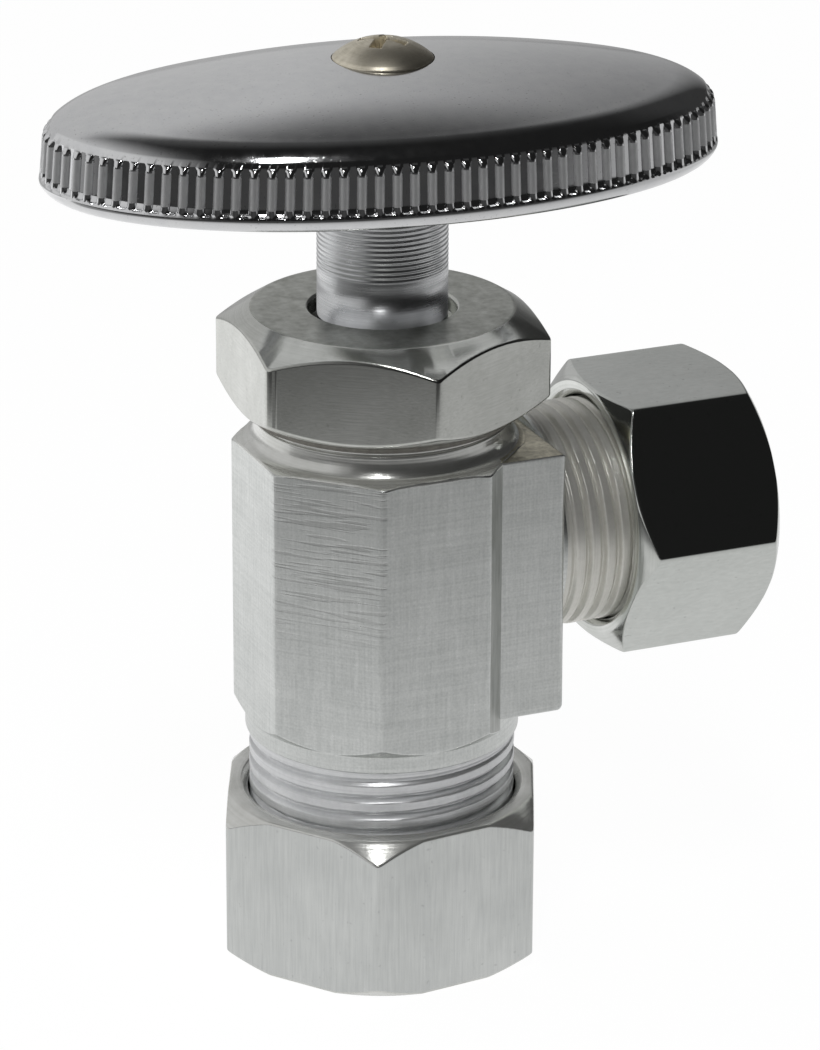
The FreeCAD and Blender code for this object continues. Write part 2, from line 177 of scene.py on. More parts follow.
def softened(corners, steps=4):
    """Rows (r, z) through corners (r, z, edge radius), whose r and z may differ from column to column."""
    n = len(corners)
    corners = [tuple(np.broadcast_arrays(*map(np.asarray, c))) for c in corners]
    width = max(np.size(c[0]) for c in corners)
    corners = [[np.broadcast_to(v, width).astype(float) for v in c] for c in corners]
    out = []
    for i, (r, z, edge) in enumerate(corners):
        if np.max(edge) == 0:
            out.append((r, z))
            continue
        ends = []
        for other in (corners[i - 1], corners[(i + 1) % n]):
            dr, dz = other[0] - r, other[1] - z
            length = np.maximum(np.hypot(dr, dz), 1e-6)
            reach = np.minimum(edge, 0.48 * length) / length
            ends.append((r + dr * reach, z + dz * reach))
        (r0, z0), (r1, z1) = ends
        for t in np.linspace(0, 1, steps):
            a, b, c = (1 - t) ** 2, 2 * t * (1 - t), t * t
            out.append((a * r0 + b * r + c * r1, a * z0 + b * z + c * z1))
    return out


def lathe_rows(profile, theta):
    """Rows of xyz points about Z from (r, z) pairs."""
    rows = []
    for r, z in profile:
        r = np.broadcast_to(r, theta.shape)
        z = np.broadcast_to(z, theta.shape)
        rows.append(np.column_stack([r * np.cos(theta), r * np.sin(theta), z]))
    return np.array(rows)


def to_outlet(rows):
    """Place rows made in an end's own frame on the outlet's axis."""
    x, y, z = np.moveaxis(np.asarray(rows), -1, 0)
    return np.stack([OUTLET_AT[0] - z, y, OUTLET_AT[2] + x], axis=-1)


def smooth(t):
    t = np.clip(t, 0, 1)
    return t * t * (3 - 2 * t)


def thread_profile(r, pitch, z0, z1, theta, depth=0.3, per_turn=22, wear=0.0):
    """Rows of a right-hand thread of crest radius r between z0 and z1, fading out at both ends."""
    rows = []
    count = int(round((z1 - z0) / pitch * per_turn))
    for z in np.linspace(z0, z1, count):
        phase = np.mod(z / pitch - theta / (2 * np.pi), 1.0)
        wedge = 1 - np.abs(2 * phase - 1)
        groove = smooth((wedge - 0.42) / 0.56)
        fade = smooth((z - z0) / (0.5 * pitch)) * smooth((z1 - z) / (0.9 * pitch))
        ripple = wear * np.sin(5 * theta + 2.1 * z) * np.sin(3 * theta - 1.3 * z)
        rows.append((r - depth * pitch * groove * fade + ripple * (1 - wedge), np.full_like(theta, z)))
    return rows


def hex_profile(radius, z0, z1, bottom, top, edge=0.16):
    """Outer corners of a hexagon with turned ends; bottom and top are (circle radius, drop at a corner)."""
    corner_r = radius.max()
    least = 0.14
    low = z0 + np.maximum((radius - bottom[0]) * bottom[1] / (corner_r - bottom[0]), least)
    high = z1 - np.maximum((radius - top[0]) * top[1] / (corner_r - top[0]), least)
    return [
        (np.minimum(bottom[0], radius - least), z0, edge), (radius, low, edge),
        (radius, high, edge), (np.minimum(top[0], radius - least), z1, edge),
    ]


# --- materials

class Shader:
    """Small helper for building a procedural material from named nodes."""

    def __init__(self, name):
        self.material = bpy.data.materials.new(name)
        self.material.use_nodes = True
        self.tree = self.material.node_tree
        self.bsdf = self.tree.nodes["Principled BSDF"]
        self.coords = self.tree.nodes.new("ShaderNodeTexCoord").outputs["Object"]

    def node(self, kind, inputs=(), **settings):
        made = self.tree.nodes.new(kind)
        for key, value in settings.items():
            setattr(made, key, value)
        for key, value in dict(inputs).items():
            if isinstance(value, bpy.types.NodeSocket):
                self.tree.links.new(value, made.inputs[key])
            else:
                made.inputs[key].default_value = value
        return made

    def math(self, operation, a, b):
        return self.node("ShaderNodeMath", {0: a, 1: b}, operation=operation).outputs[0]

    def around(self, axis):
        """Coordinates (distance from the axis, 0, place along the axis) for a turned finish."""
        moved = self.node("ShaderNodeMapping", {"Vector": self.coords})
        if axis == "X":
            moved.inputs["Location"].default_value = (0, 0, -OUTLET_AT[2] * MM)
        split = self.node("ShaderNodeSeparateXYZ", {0: moved.outputs[0]})
        along = split.outputs[0 if axis == "X" else 2]
        across = split.outputs[2 if axis == "X" else 0]
        flat = self.node("ShaderNodeCombineXYZ", {0: across, 1: split.outputs[1]})
        radius = self.node("ShaderNodeVectorMath", {0: flat.outputs[0]}, operation="LENGTH").outputs["Value"]
        return self.node("ShaderNodeCombineXYZ", {0: radius, 2: along}).outputs[0]

    def noise(self, scale, stretch=(1, 1, 1), detail=3.0, vector=None, turn=(0, 0, 0)):
        source = vector if vector is not None else self.coords
        mapped = self.node("ShaderNodeMapping", {"Vector": source, "Scale": stretch, "Rotation": turn})
        return self.node(
            "ShaderNodeTexNoise",
            {"Vector": mapped.outputs[0], "Scale": scale, "Detail": detail, "Roughness": 0.55},
        ).outputs[0]

    def ramp(self, factor, low, high, start=0.3, end=0.7):
        made = self.node("ShaderNodeMapRange", {
            "Value": factor, "From Min": start, "From Max": end, "To Min": low, "To Max": high,
        })
        return made.outputs[0]

    def blend(self, factor, a, b):
        made = self.node("ShaderNodeMix", data_type="RGBA")
        for socket, value in ((made.inputs[0], factor), (made.inputs[6], a), (made.inputs[7], b)):
            if isinstance(value, bpy.types.NodeSocket):
                self.tree.links.new(value, socket)
            else:
                socket.default_value = value
        return made.outputs[2]

    def connect(self, color, roughness, normal, metallic=1.0):
        for key, value in (("Base Color", color), ("Roughness", roughness), ("Normal", normal)):
            self.tree.links.new(value, self.bsdf.inputs[key])
        self.bsdf.inputs["Metallic"].default_value = metallic
        return self.material

    def bump(self, height, depth_mm, after=None):
        inputs = {"Height": height, "Strength": 1.0, "Distance": depth_mm * MM}
        if after is not None:
            inputs["Normal"] = after
        return self.node("ShaderNodeBump", inputs).outputs[0]


def rgb(*value):
    return (*value, 1.0)


def plated(
    name, light, dark, rough, grain, grain_depth, mottle=220.0, speck=0.0, turned=None, swell=None,
    metallic=1.0,
):
    """Chrome plate over machined brass: drawn or turned grain, soft mottling and a few dull specks.

    turned is (axis, rings per metre); swell is a slight waist (bottom z, top z, depth) in millimetres.
    """
    s = Shader(name)
    streaks = s.noise(1.0, grain, detail=4.0)
    if turned is not None:
        axis, ring_scale = turned
        rings = s.noise(1.0, (ring_scale, 1, ring_scale), detail=3.0, vector=s.around(axis))
        streaks = s.math("ADD", s.math("MULTIPLY", streaks, 0.35), s.math("MULTIPLY", rings, 0.65))
    cloud = s.noise(mottle, detail=4.0)
    tone = s.math("ADD", s.math("MULTIPLY", streaks, 0.55), s.math("MULTIPLY", cloud, 0.45))
    color = s.blend(s.ramp(tone, 0.0, 1.0, 0.34, 0.66), rgb(*dark), rgb(*light))
    if speck:
        dots = s.ramp(s.noise(2600.0, detail=1.0), 0.0, 1.0, 0.70, 0.78)
        color = s.blend(s.math("MULTIPLY", dots, speck), color, rgb(0.22, 0.22, 0.21))
    roughness = s.ramp(tone, rough[0], rough[1], 0.3, 0.7)
    normal = s.bump(streaks, grain_depth)
    normal = s.bump(cloud, grain_depth * 0.8, normal)
    if swell is not None:
        low, high, depth = swell
        along = s.node("ShaderNodeSeparateXYZ", {0: s.coords}).outputs[2]
        part = s.math("POWER", s.ramp(along, 1.0, 0.0, low * MM, high * MM), 2.0)
        normal = s.bump(part, depth, normal)
    return s.connect(color, roughness, normal, metallic)


def satin_body():
    """Milled facets: faint drawn grain, chatter lines across the flats and scored lines high on one facet."""
    s = Shader("satin_chrome")
    drawn = s.noise(1.0, (5200, 5200, 260), detail=4.0)
    chatter = s.noise(1.0, (140, 140, 5200), detail=2.0, turn=(0.0, 0.03, 0.0))
    cloud = s.noise(260.0, detail=4.0)
    mix = s.math("ADD", s.math("MULTIPLY", drawn, 0.4), s.math("MULTIPLY", chatter, 0.35))
    tone = s.math("ADD", mix, s.math("MULTIPLY", cloud, 0.25))
    fine = s.noise(5600.0, detail=2.0)
    place = s.node("ShaderNodeVectorMath", {0: s.coords, 1: (-0.7071, -0.7071, 0.0)}, operation="DOT_PRODUCT")
    facet = s.ramp(place.outputs["Value"], 0.0, 1.0, 0.0103, 0.0105)
    height = s.node("ShaderNodeSeparateXYZ", {0: s.coords}).outputs[2]
    facet = s.math("MULTIPLY", facet, s.ramp(height, 0.0, 1.0, 0.026, 0.033))
    lines = s.noise(1.0, (190, 190, 3600), detail=1.0, turn=(0.0, -0.05, 0.0))
    scored = s.math("MULTIPLY", s.ramp(lines, 0.0, 1.0, 0.53, 0.60), facet)
    tone = s.math("ADD", s.math("MULTIPLY", tone, 0.7), s.math("MULTIPLY", fine, 0.3))
    color = s.blend(s.ramp(tone, 0.0, 1.0, 0.36, 0.64), rgb(0.60, 0.62, 0.605), rgb(0.80, 0.815, 0.80))
    color = s.blend(s.math("MULTIPLY", scored, 0.3), color, rgb(0.36, 0.36, 0.35))
    roughness = s.ramp(tone, 0.36, 0.27, 0.36, 0.64)
    normal = s.bump(mix, 0.004)
    normal = s.bump(scored, -0.006, normal)
    normal = s.bump(cloud, 0.003, normal)
    return s.connect(color, roughness, normal)


def mirror_handle():
    s = Shader("mirror_chrome")
    wave = s.noise(170.0, detail=2.0)
    haze = s.noise(900.0, detail=5.0)
    pits = s.ramp(s.noise(5200.0, detail=1.0), 0.0, 1.0, 0.68, 0.76)
    color = s.blend(s.ramp(haze, 0.0, 1.0), rgb(0.76, 0.765, 0.78), rgb(0.82, 0.825, 0.83))
    color = s.blend(s.math("MULTIPLY", pits, 0.35), color, rgb(0.30, 0.29, 0.28))
    roughness = s.ramp(haze, 0.075, 0.14)
    normal = s.bump(wave, 0.008)
    normal = s.bump(pits, -0.002, normal)
    return s.connect(color, roughness, normal)


def antique_screw():
    s = Shader("antique_brass")
    cloud = s.noise(1400.0, detail=5.0)
    rings = s.noise(1.0, (9000, 1, 9000), vector=s.around("Z"))
    tone = s.math("ADD", s.math("MULTIPLY", cloud, 0.6), s.math("MULTIPLY", rings, 0.4))
    color = s.blend(s.ramp(tone, 0.0, 1.0, 0.36, 0.64), rgb(0.68, 0.63, 0.51), rgb(0.95, 0.89, 0.75))
    roughness = s.ramp(tone, 0.48, 0.34)
    normal = s.bump(tone, 0.006)
    return s.connect(color, roughness, normal)


def plain(name, light, dark, rough, metallic, scale, depth_mm):
    """Seals and unplated inner parts."""
    s = Shader(name)
    cloud = s.noise(scale, detail=5.0)
    rings = s.noise(1.0, (6000, 1, 6000), vector=s.around("Z"))
    tone = s.math("ADD", s.math("MULTIPLY", cloud, 0.65), s.math("MULTIPLY", rings, 0.35))
    color = s.blend(s.ramp(tone, 0.0, 1.0), rgb(*dark), rgb(*light))
    roughness = s.ramp(tone, rough + 0.08, rough - 0.06)
    return s.connect(color, roughness, s.bump(tone, depth_mm), metallic)


MATERIALS = {
    "satin_chrome": satin_body(),
    "inlet_thread": plated(
        "inlet_thread", (0.94, 0.95, 0.96), (0.68, 0.69, 0.70), (0.40, 0.26), (2600, 2600, 2600), 0.024,
        turned=("Z", 5000), metallic=0.6,
    ),
    "outlet_thread": plated(
        "outlet_thread", (0.98, 0.97, 0.91), (0.76, 0.75, 0.69), (0.42, 0.26), (2600, 2600, 2600), 0.020,
        turned=("X", 6500), metallic=0.45,
    ),
    "turned_chrome": plated(
        "turned_chrome", (0.90, 0.905, 0.88), (0.64, 0.645, 0.61), (0.26, 0.16), (1200, 1200, 1200), 0.030,
        turned=("Z", 4200), metallic=0.7,
    ),
    "outlet_turned": plated(
        "outlet_turned", (0.76, 0.77, 0.75), (0.58, 0.60, 0.57), (0.18, 0.09), (1200, 1200, 1200), 0.006,
        turned=("X", 7000),
    ),
    "rough_plate": plated(
        "rough_plate", (0.70, 0.66, 0.52), (0.36, 0.34, 0.28), (0.50, 0.28), (2400, 2400, 2400), 0.03
    ),
    "bonnet_chrome": plated(
        "bonnet_chrome", (0.70, 0.71, 0.68), (0.52, 0.53, 0.50), (0.22, 0.12), (900, 900, 900), 0.003,
        turned=("Z", 7000), speck=0.25,
    ),
    "nut_chrome": plated(
        "nut_chrome", (0.72, 0.735, 0.72), (0.60, 0.615, 0.605), (0.25, 0.16), (6000, 6000, 260), 0.003,
        speck=0.2,
    ),
    "outlet_chrome": plated(
        "outlet_chrome", (0.72, 0.74, 0.715), (0.63, 0.65, 0.625), (0.19, 0.11), (1400, 3200, 3200), 0.002,
        speck=0.3,
    ),
    "stem_chrome": plated(
        "stem_chrome", (0.78, 0.79, 0.80), (0.56, 0.57, 0.58), (0.36, 0.22), (900, 900, 900), 0.012,
        turned=("Z", 9000), swell=(51.5, 54.5, 1.8),
    ),
    # painted shade: a darker, duller chrome for the slanted strips beside the ear, its darkness standing in
    # for shade
    "strip_painted_shade": plated(
        "strip_painted_shade", (0.58, 0.59, 0.575), (0.38, 0.39, 0.37), (0.42, 0.32), (2600, 2600, 300), 0.006
    ),
    # bonnet's top: a rougher, mottled finish of its own, with a darker colour that is painted shade
    "bonnet_top_rough_painted_shade": plated(
        "bonnet_top_rough_painted_shade", (0.62, 0.63, 0.595), (0.40, 0.41, 0.375), (0.44, 0.32), (1500, 1500, 1500), 0.010,
        mottle=500.0, speck=0.3,
    ),
    "rib_chrome": plated(
        "rib_chrome", (0.86, 0.865, 0.87), (0.66, 0.665, 0.67), (0.60, 0.44), (2600, 2600, 900), 0.006
    ),
    "mirror_chrome": mirror_handle(),
    "antique_brass": antique_screw(),
    "bare_brass": plain("bare_brass", (0.80, 0.64, 0.34), (0.58, 0.44, 0.20), 0.30, 1.0, 900.0, 0.004),
    "gasket_fibre": plain("gasket_fibre", (0.40, 0.38, 0.34), (0.22, 0.21, 0.19), 0.75, 0.0, 2200.0, 0.02),
    "ptfe": plain("ptfe", (0.88, 0.88, 0.86), (0.76, 0.76, 0.73), 0.5, 0.0, 700.0, 0.004),
    "black_rubber": plain("black_rubber", (0.045, 0.045, 0.045), (0.02, 0.02, 0.02), 0.6, 0.0, 1500.0, 0.01),
}


# --- pieces

def nut(name, end, place, body, material, turned, axis):
    """Compression nut: turned chamfers over a hexagon, tube hole, sleeve cone and thread bore."""
    corners = [end["corner"] + 60 * k for k in range(6)]
    theta = columns(corners, 288)
    radius = polygon_r(theta, [(c + 30, end["flat"]) for c in corners], 90)
    circle = end["flat"] + end["over"]
    length, wall, hole = end["nut"], end["wall"], end["hole"]
    bore = end["thread_r"] + 0.1
    outer = hex_profile(radius, 0, length, (circle, end["mouth_drop"]), (circle, end["drop"]))
    inner = [
        (bore + 0.55, length, 0.12), (bore + 0.05, length - 0.5, 0.1), (bore, wall + 1.6, 0.1),
        (hole + 1.3, wall + 1.3, 0.1), (hole, wall, 0.1), (hole, 0.35, 0.15), (hole + 0.35, 0, 0.1),
    ]
    rows = lathe_rows(softened(outer + inner), theta)
    piece = finish_piece(grid(name + "_look", place(rows)), body, [name], material)
    paint(piece, lambda centres, normals: [(turned, np.abs(normals[:, axis]) > 0.2)])


def threaded_end(end, theta):
    """Rows of one end of the body: chamfered face and thread."""
    r, start = end["thread_r"], end["start"]
    face = softened([
        (end["lead_r"], start, 0.1), (r - 0.8, start, 0.1), (r, start + 0.8, 0.12), (r, start + 1.1, 0),
    ])[:-1]
    return face + thread_profile(r, end["pitch"], start + 0.85, end["thread_end"], theta, wear=0.02)


def socket(end):
    """Last corners of an end's section: the tube's socket, from its stop back to the face."""
    return [(end["hole"], end["socket_end"], 0.1), (end["hole"], end["start"] + 2.2, 0.1)]


def barrel():
    """Octagon, band, inlet thread and neck as one turned solid with the inlet's bore."""
    theta = columns([22.5 + 45 * k for k in range(8)], 256)
    radius = polygon_r(theta, [(45 * k, OCT_FLAT) for k in range(8)], 150)
    low, high = OCT_Z
    top_circle = radius.max() - 0.6
    foot = low + np.maximum(radius - BAND_R, 0.1)
    shoulder_z = high - np.maximum((radius - top_circle) * 0.25 / 0.6, 0.1)
    groove_r = NECK_R - 0.16
    section = softened([
        (INLET["thread_r"], INLET["thread_end"] + 0.01, 0), (BAND_R, INLET["thread_end"] + 0.15, 0.1),
        (BAND_R, low, 0.08), (radius, foot, 0.12), (radius, shoulder_z, 0.12),
        (np.minimum(top_circle, radius - 0.1), high, 0.12), (10.7, high, 0.2),
        (10.15, high + 0.25, 0.3), (9.85, high + 0.75, 0.3), (NECK_R, high + 1.3, 0.2),
        (NECK_R, 43.3, 0.05), (groove_r, 43.4, 0.05), (groove_r, 43.55, 0.05), (NECK_R, 43.65, 0.05),
        (NECK_R, NECK_TOP, 0.05), (SEAT_R, NECK_TOP, 0.15), (SEAT_R, 21.6, 0.1), *socket(INLET),
    ])
    return grid("valve_body_look", lathe_rows(threaded_end(INLET, theta) + section, theta))


def ear():
    """Ear with the outlet's thread and bore, on the outlet's axis."""
    face = OUTLET_AT[0] - EAR_X
    root = OUTLET_AT[0] - EAR_ROOT
    above, below = OCT_Z[1] - 0.03 - OUTLET_AT[2], OUTLET_AT[2] - EAR_BOTTOM
    corners = [
        math.degrees(math.atan2(side * EAR_HALF, x)) for x in (above, -below) for side in (-1, 1)
    ]
    theta = columns(corners, 256)
    radius = polygon_r(theta, [(0, above), (180, below), (90, EAR_HALF), (-90, EAR_HALF)], 190)
    r, bore = OUTLET["thread_r"], 3.9
    section = softened([
        (r, OUTLET["thread_end"] + 0.01, 0), (r, face, 0.08), (radius - 0.3, face, 0.12),
        (radius, face + 0.3, 0.2), (radius, root, 0), (bore, root, 0),
        (bore, OUTLET["socket_end"] + 1.6, 0.05), *socket(OUTLET),
    ])
    return grid("ear", to_outlet(lathe_rows(threaded_end(OUTLET, theta) + section, theta)))


def chamber(turn):
    """Room inside the body: round the raised seat, the chamber and the bonnet's thread."""
    ledge_r, seat_z, floor_z = 5.9, 26.6, 25.4
    profile = [
        (5.0, seat_z), (5.6, seat_z), (ledge_r, seat_z - 0.3), (ledge_r, floor_z), (CHAMBER_R, floor_z),
        (CHAMBER_R, 36.8), (BONNET_THREAD_R + 0.08, 37.0), (BONNET_THREAD_R + 0.08, 45.0),
    ]
    return grid("chamber", lathe_rows(profile, turn), cap_start=True, cap_end=True)


def port(turn):
    """Bore from the chamber to the outlet."""
    rows = [
        np.column_stack([
            np.full(len(turn), x), PORT_R * np.cos(turn), OUTLET_AT[2] + PORT_R * np.sin(turn),
        ])
        for x in (6.4, 13.6)
    ]
    return grid("port", rows, cap_start=True, cap_end=True)


def combined(piece, tools):
    """Join or cut a piece with others, which are used up; tools are (operation, other piece)."""
    for operation, tool in tools:
        step = piece.modifiers.new(tool.name, "BOOLEAN")
        step.operation = operation
        step.solver = "MANIFOLD"
        step.object = tool
    bpy.context.view_layer.update()
    seen = piece.evaluated_get(bpy.context.evaluated_depsgraph_get())
    mesh = bpy.data.meshes.new_from_object(seen)
    piece.modifiers.clear()
    piece.data = mesh
    for _, tool in tools:
        bpy.data.objects.remove(tool)


def body_finishes(centres, normals):
    """Facet strips in a duller chrome darkened with painted shade, both threads, the turned neck and the
    rough top of the ear.
    """
    x, y, z = centres.T
    from_inlet_axis = np.hypot(x, y)
    from_outlet_axis = np.hypot(y, z - OUTLET_AT[2])
    slanted = (normals[:, 0] > 0.6) & (np.abs(normals[:, 1]) > 0.6)
    facing_up = normals[:, 2] > 0.9
    on_ear = (x > 6.0) & (x < EAR_X + 0.05)
    return (
        # painted shade on the slanted strips beside the ear
        (MATERIALS["strip_painted_shade"], slanted & (np.abs(y) > 9.0) & (z > OCT_Z[0])),
        (MATERIALS["inlet_thread"], (z < INLET["thread_end"] + 0.05) & (from_inlet_axis > 9.0)),
        (MATERIALS["turned_chrome"], (z > OCT_Z[1] - 0.2) & (from_inlet_axis < 11.8) & (x < 9.0)),
        (MATERIALS["outlet_thread"], (x > OUTLET_AT[0] - OUTLET["thread_end"]) & (from_outlet_axis > 7.6)),
        (MATERIALS["rough_plate"], facing_up & on_ear & (z > OCT_Z[1] - 0.3)),
    )


def body_piece():
    """Body: barrel and ear joined, with the chamber and the port cut out."""
    piece = barrel()
    turn = np.linspace(0, 2 * np.pi, 96, endpoint=False)
    combined(piece, (("UNION", ear()), ("DIFFERENCE", chamber(turn)), ("DIFFERENCE", port(turn))))
    finish_piece(piece, "body", ["valve_body"], MATERIALS["satin_chrome"], sharp=32)
    paint(piece, body_finishes)


def bonnet_piece():
    """Hexagon with turned ends over a threaded shank, bored for the stem."""
    corners = [BONNET_CORNER + 60 * k for k in range(6)]
    theta = columns(corners, 288)
    radius = polygon_r(theta, [(c + 30, BONNET_FLAT) for c in corners], 110)
    low, high = BONNET_Z
    bore, mouth, floor = STEM_R + 0.08, BONNET_MOUTH_R, BONNET_MOUTH_FLOOR
    neck_r, shank_z = 7.4, 37.2
    shank = [
        (6.4, shank_z, 0.1), (7.6, shank_z, 0.1), (BONNET_THREAD_R, shank_z + 0.7, 0.1),
        (BONNET_THREAD_R, 42.8, 0.1), (neck_r, 43.2, 0.1), (neck_r, low, 0.05),
    ]
    inner = [
        (mouth + 0.16, high, 0.1), (mouth, high - 0.2, 0.08), (mouth, floor, 0.06), (bore, floor, 0.06),
        (bore, 46.2, 0.05), (6.4, 46.2, 0.05),
    ]
    outer = hex_profile(radius, low, high, (10.4, 1.45), (10.0, 1.8), edge=0.2)
    rows = lathe_rows(softened(shank + outer + inner), theta)
    piece = finish_piece(
        grid("bonnet_look", rows), "body", ["bonnet"], MATERIALS["bonnet_chrome"]
    )

    def top(centres, normals):
        # painted shade: the flat top face gets the darker, rougher chrome
        return [(MATERIALS["bonnet_top_rough_painted_shade"], (normals[:, 2] > 0.95) & (centres[:, 2] > high - 0.3))]

    paint(piece, top)


def stem_piece():
    """Rising stem: thread below, fine turned rings on the part that shows, square tang inside the handle."""
    theta = columns([HANDLE_ANGLE + 45 + 90 * k for k in range(4)], 144)
    thread_r, pitch = 6.3, 2.0
    ring_pitch, ring_depth, ring_start = 0.38, 0.045, 54.9
    rows = softened([(1.5, 37.25, 0.05), (5.4, 37.25, 0.1), (thread_r, 38.1, 0)])
    rows += thread_profile(thread_r, pitch, 38.15, 45.5, theta, depth=0.45, per_turn=16)
    rows += softened([(thread_r, 45.55, 0.05), (STEM_R, 45.6, 0.05), (STEM_R, 46.5, 0)])
    for z in np.linspace(46.6, 63.3, 340):
        ring = 0.5 - 0.5 * math.cos(2 * math.pi * (z - 58.0) / ring_pitch)
        share = float(smooth((z - ring_start) / 0.8))
        rows.append((STEM_R - ring_depth * share * ring, z))
    square = polygon_r(theta, [(HANDLE_ANGLE + 90 * k, 3.5) for k in range(4)], 90)
    tang = np.minimum(square, STEM_R - 0.4)
    hole, tip = 1.98, 1.2
    rows += softened([
        (STEM_R, 63.4, 0), (STEM_R, 63.6, 0.08), (tang, 63.6, 0.05), (tang, 68.2, 0.15), (hole, 68.2, 0.1),
        (hole, 58.6, 0.1), (tip, 58.0, 0.05), (tip, 43.6, 0.05), (1.5, 43.2, 0.05),
    ])
    finish_piece(
        grid("stem_look", lathe_rows(rows, theta)), "spindle", ["stem"],
        MATERIALS["stem_chrome"],
    )


SKIRT = 0.985                        # top of the handle's skirt, as a share of its full size
SKIRT_TOP = 67.03
EDGE = (0.5, math.radians(20))       # small round at the top of the skirt: radius, turn
SHOULDER = (2.96, math.radians(72))  # wide round above it, up to this turn
RIB_TOP = 67.40                      # ribs: where they start, end, round off and how deep the gaps are
RIB_FOOT = 64.5
RIB_ROUND = 0.62
RIB_DEPTH = 0.34
RIB_HALF = 0.27                      # half width of a rib, as a share of the pitch
PER_FLUTE = 14                       # columns in one pitch
LIP_Z = 63.3
DOME_TOP = 71.4
WALL = 1.7
INNER = 1 - WALL / HANDLE_B          # inside of the skirt, as a share of the full size
ROOF = 67.4                          # height of the hollow underside next to the skirt
BOSS_R = 6.6


def shoulder(angle):
    """Inset in millimetres and height of the rounded shoulder at an angle up from the skirt."""
    low = min(angle, EDGE[1])
    inset = EDGE[0] * (1 - math.cos(low)) + SHOULDER[0] * (math.cos(low) - math.cos(angle))
    rise = EDGE[0] * math.sin(low) + SHOULDER[0] * (math.sin(angle) - math.sin(low))
    return inset, SKIRT_TOP + rise


CROWN_INSET, CROWN_Z = shoulder(SHOULDER[1])
CROWN_S = SKIRT - CROWN_INSET / HANDLE_B


def dome_z(s):
    """Height of the low dome, where s is 0 at the screw."""
    return DOME_TOP - (DOME_TOP - CROWN_Z) * (s / CROWN_S) ** 2


def flare(z):
    """Size of the skirt at a height: it widens slightly towards the lip."""
    start = SKIRT_TOP + 0.4
    return SKIRT + (0.9985 - SKIRT) * (start - z) / (start - LIP_Z)


def oval_outward(angle):
    """Unit vectors out of the oval at the same angles."""
    out = np.column_stack([np.cos(angle) / HANDLE_A, np.sin(angle) / HANDLE_B])
    return out / np.linalg.norm(out, axis=1)[:, None]


def oval_point(angle):
    """Points of the oval at the angles that draw it."""
    return np.column_stack([HANDLE_A * np.cos(angle), HANDLE_B * np.sin(angle)])


def roof_z(s):
    """Height of the roof of the handle's hollow, which follows the dome."""
    return ROOF + 1.75 * (1 - (s / 0.766) ** 2)


def handle_rows():
    """Rows of the handle before its turn about Z: dome, shoulder, ribs, lip, hollow, boss, screw hole."""
    count = FLUTES * PER_FLUTE
    fine = np.linspace(0, 2 * np.pi, 20001)
    steps = np.hypot(HANDLE_A * np.sin(fine), HANDLE_B * np.cos(fine))
    walked = np.r_[0, np.cumsum((steps[1:] + steps[:-1]) / 2 * np.diff(fine))]
    angle = np.interp(np.arange(count) / count * walked[-1], walked, fine)
    rim, outward = oval_point(angle), oval_outward(angle)
    reach = np.linalg.norm(rim, axis=1)
    direction = rim / reach[:, None]
    off_rib = np.abs((np.arange(count) % PER_FLUTE) / PER_FLUTE - 0.5)
    rib = np.sqrt(np.clip(1 - (off_rib / RIB_HALF) ** 2, 0, 1))
    rows = []

    def skirt(s, z, cut=0.0):
        """A row at s times the rim, cut inwards by some millimetres."""
        xy = rim * s - outward * (cut * np.ones(count))[:, None]
        rows.append(np.column_stack([xy, np.full(count, z)]))

    def crown(share, inner_r, outer_s, height):
        """A row part of the way from a round hole to the oval."""
        r = (1 - share) * inner_r + share * outer_s * reach
        rows.append(np.column_stack([direction * r[:, None], height(r / reach)]))

    def circle(r, z):
        rows.append(np.column_stack([direction * r, np.full(count, z)]))

    seat_r = SCREW_R + 0.06
    for share in np.r_[0, 0.004, 0.02, 0.06, np.linspace(0.12, 1.0, 20)]:
        crown(share, seat_r, CROWN_S, dome_z)
    for turn in np.linspace(SHOULDER[1], 0.59, 16)[1:]:
        inset, z = shoulder(turn)
        skirt(SKIRT - inset / HANDLE_B, z)
    for step in np.r_[0, np.linspace(0.05, 1, 9)]:
        z = RIB_TOP - RIB_ROUND * step
        skirt(flare(z), z, RIB_DEPTH * (1 - rib * math.sqrt(1 - (1 - step) ** 2)))
    for z in (66.5, 66.0, 65.5, 65.0, 64.6, RIB_FOOT):
        skirt(flare(z), z, RIB_DEPTH * (1 - rib))
    for step in np.linspace(0.12, 1.0, 9):
        z = RIB_FOOT - RIB_ROUND * step
        skirt(flare(z), z, RIB_DEPTH * (1 - rib) * math.sqrt(max(1 - step ** 2, 0)))
    for s, z in (
        (0.9984, 63.74), (0.9990, 63.62), (0.9980, 63.48), (0.9940, LIP_Z), (0.9870, 63.08), (0.9790, 62.90),
        (0.9700, 62.77), (0.960, HANDLE_Z + 0.01), (0.950, HANDLE_Z), (INNER + 0.02, HANDLE_Z + 0.02),
        (INNER, HANDLE_Z + 0.25), (INNER, 64.5), (INNER - 0.01, 66.2), (INNER - 0.04, 66.9),
        (INNER - 0.12, ROOF),
    ):
        skirt(s, z)
    for share in (0.8, 0.6, 0.4, 0.2, 0.08, 0.0):
        crown(share, BOSS_R + 0.3 * (1 - share), INNER - 0.12, roof_z)
    tang_r, hole_r = 4.66, 2.1
    for r, z in (
        (BOSS_R, 68.6), (BOSS_R, 64.0), (BOSS_R - 0.25, 63.68), (tang_r + 0.09, 63.62), (tang_r, 63.8),
        (tang_r, 68.4), (hole_r, 68.4), (hole_r, 70.95), (seat_r - 0.1, 70.97), (seat_r, 71.05),
    ):
        circle(r, z)
    return np.array(rows)


